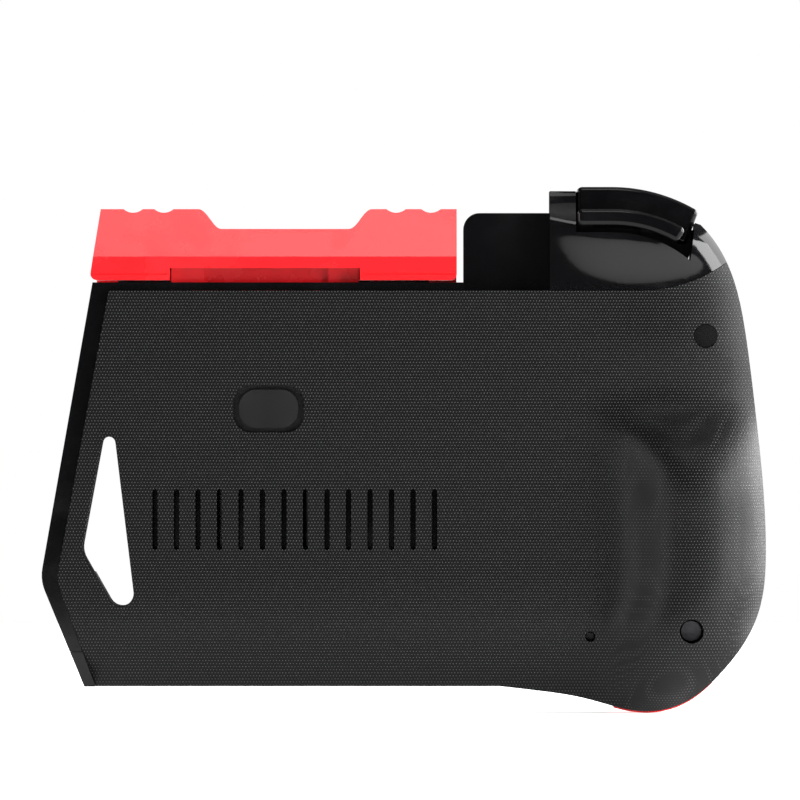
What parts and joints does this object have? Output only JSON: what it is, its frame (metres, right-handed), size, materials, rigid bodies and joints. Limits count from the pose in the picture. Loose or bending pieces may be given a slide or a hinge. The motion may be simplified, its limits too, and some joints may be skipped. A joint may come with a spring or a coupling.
{
  "type": "mobile game controller",
  "caption": "One-handed phone gamepad: flat plate with a sprung sliding clamp jaw and lock button, running into a palm grip with shoulder keys, thumbstick, direction keys and function keys.",
  "frame": {"origin": "middle of the rubber mat that the phone's back lies on", "axes": "+X along the phone towards the grip, +Y out of the mat towards the phone, +Z across the phone from the ledge to the clamp jaw"},
  "size_m": [0.1594, 0.0442, 0.116],
  "materials": {
    "back_plastic": "matte, with a fine woven relief",
    "chin_plastic": "fine satin",
    "gloss_black": "polished",
    "shoulder_gloss": "polished",
    "clamp_red": "polished",
    "stem_red": "satin gloss",
    "trim_red": "polished",
    "button_black": "satin",
    "white_nylon": "moulded",
    "steel": "plain",
    "spring_steel": "drawn wire",
    "screw_steel": "dark zinc",
    "pad_rubber": "matte",
    "plug_rubber": "matte",
    "board_laminate": "solder mask",
    "switch_body": "moulded",
    "switch_plunger": "moulded",
    "battery_wrap": "foil wrap",
    "stick_rubber": "matte",
    "key_plastic": "satin gloss",
    "small_key_plastic": "satin",
    "membrane_rubber": "matte",
    "lens": "frosted"
  },
  "bodies": {
    "shell": {"battery": "battery_wrap", "bay_mat": "pad_rubber", "board_screws": "screw_steel", "chin_cover": "chin_plastic", "clamp_spring_left": "spring_steel", "clamp_spring_right": "spring_steel", "cover_screws": "screw_steel", "foot_trim": "chin_plastic", "front_housing": "gloss_black", "grip_trim": "clamp_red", "guide_rail_left": "white_nylon", "guide_rail_right": "white_nylon", "key_membrane": "membrane_rubber", "l1_spring": "spring_steel", "l1_switch": "switch_body", "l2_spring": "spring_steel", "l2_switch": "switch_body", "led_window": "lens", "ledge_pad": "pad_rubber", "lock_pin": "steel", "main_board": "board_laminate", "rear_cover": "back_plastic", "reset_switch": "switch_body", "screw_plug": "plug_rubber", "shoulder_board": "board_laminate", "shoulder_pin": "steel", "shoulder_shroud": "gloss_black", "stick_module": "switch_body", "stick_ring": "trim_red", "usb_socket": "steel"},
    "clamp": {"clamp_jaw": "clamp_red", "clamp_stem": "stem_red", "jaw_pad": "pad_rubber"},
    "lock_button": {"lock_button": "button_black"},
    "lock_lever": {"lock_lever": "white_nylon"},
    "l1_key": {"l1_key": "shoulder_gloss"},
    "l2_key": {"l2_key": "shoulder_gloss"},
    "gimbal": {"stick_gimbal": "white_nylon"},
    "stick": {"stick_shaft": "white_nylon", "stick_cap": "stick_rubber"},
    "power_switch": {"power_switch": "small_key_plastic"},
    "reset_plunger": {"reset_plunger": "switch_plunger"},
    "key_up": {"key_up": "key_plastic"},
    "key_down": {"key_down": "key_plastic"},
    "key_left": {"key_left": "key_plastic"},
    "key_right": {"key_right": "key_plastic"},
    "key_select": {"key_select": "small_key_plastic"},
    "key_start": {"key_start": "small_key_plastic"}
  },
  "joints": [
    {"name": "clamp_slide", "type": "slide", "parent": "shell", "child": "clamp", "axis": [0, 0, 1], "range_m": [0, 0.021], "stiffness_N_per_m": 100, "springref_m": -0.02, "deforming": ["clamp_spring_left", "clamp_spring_right"]},
    {"name": "lock_button_press", "type": "slide", "parent": "shell", "child": "lock_button", "axis": [0, 1, 0], "range_m": [0, 0.001], "stiffness_N_per_m": 600, "springref_m": -0.0005},
    {"name": "lock_lever_tilt", "type": "hinge", "parent": "shell", "child": "lock_lever", "pos_m": [-0.0034, -0.0082, 0.0137], "axis": [1, 0, 0], "range_deg": [0, 6.7]},
    {"name": "l1_key_hinge", "type": "hinge", "parent": "shell", "child": "l1_key", "pos_m": [0.0665, 0, 0.0384], "axis": [0, 1, 0], "range_deg": [0, 3.5], "stiffness_Nm_per_rad": 0.05, "springref_deg": -20.05},
    {"name": "l2_key_hinge", "type": "hinge", "parent": "shell", "child": "l2_key", "pos_m": [0.0665, 0, 0.0384], "axis": [0, 1, 0], "range_deg": [0, 4], "stiffness_Nm_per_rad": 0.05, "springref_deg": -20.05},
    {"name": "stick_tilt_x", "type": "hinge", "parent": "shell", "child": "gimbal", "pos_m": [0.0725, 0.0015, 0.013], "axis": [1, 0, 0], "range_deg": [-16, 16], "stiffness_Nm_per_rad": 0.03},
    {"name": "stick_tilt_z", "type": "hinge", "parent": "gimbal", "child": "stick", "pos_m": [0.0725, 0.0015, 0.013], "axis": [0, 0, 1], "range_deg": [-16, 16], "stiffness_Nm_per_rad": 0.03},
    {"name": "key_up_press", "type": "slide", "parent": "shell", "child": "key_up", "axis": [0, -1, 0], "range_m": [0, 0.0012], "stiffness_N_per_m": 400, "springref_m": -0.0005},
    {"name": "key_down_press", "type": "slide", "parent": "shell", "child": "key_down", "axis": [0, -1, 0], "range_m": [0, 0.0012], "stiffness_N_per_m": 400, "springref_m": -0.0005},
    {"name": "key_left_press", "type": "slide", "parent": "shell", "child": "key_left", "axis": [0, -1, 0], "range_m": [0, 0.0012], "stiffness_N_per_m": 400, "springref_m": -0.0005},
    {"name": "key_right_press", "type": "slide", "parent": "shell", "child": "key_right", "axis": [0, -1, 0], "range_m": [0, 0.0012], "stiffness_N_per_m": 400, "springref_m": -0.0005},
    {"name": "key_select_press", "type": "slide", "parent": "shell", "child": "key_select", "axis": [0, -1, 0], "range_m": [0, 0.0007], "stiffness_N_per_m": 400, "springref_m": -0.0005},
    {"name": "key_start_press", "type": "slide", "parent": "shell", "child": "key_start", "axis": [0, -1, 0], "range_m": [0, 0.0007], "stiffness_N_per_m": 400, "springref_m": -0.0005},
    {"name": "power_switch_slide", "type": "slide", "parent": "shell", "child": "power_switch", "axis": [0, 0, 1], "range_m": [0, 0.0036]},
    {"name": "reset_plunger_press", "type": "slide", "parent": "shell", "child": "reset_plunger", "axis": [0, 1, 0], "range_m": [0, 0.00025], "stiffness_N_per_m": 500, "springref_m": -0.0003}
  ],
  "couplings": [
    {"joint": "lock_lever_tilt", "follows": "lock_button_press", "rad_per_m": 115}
  ]
}
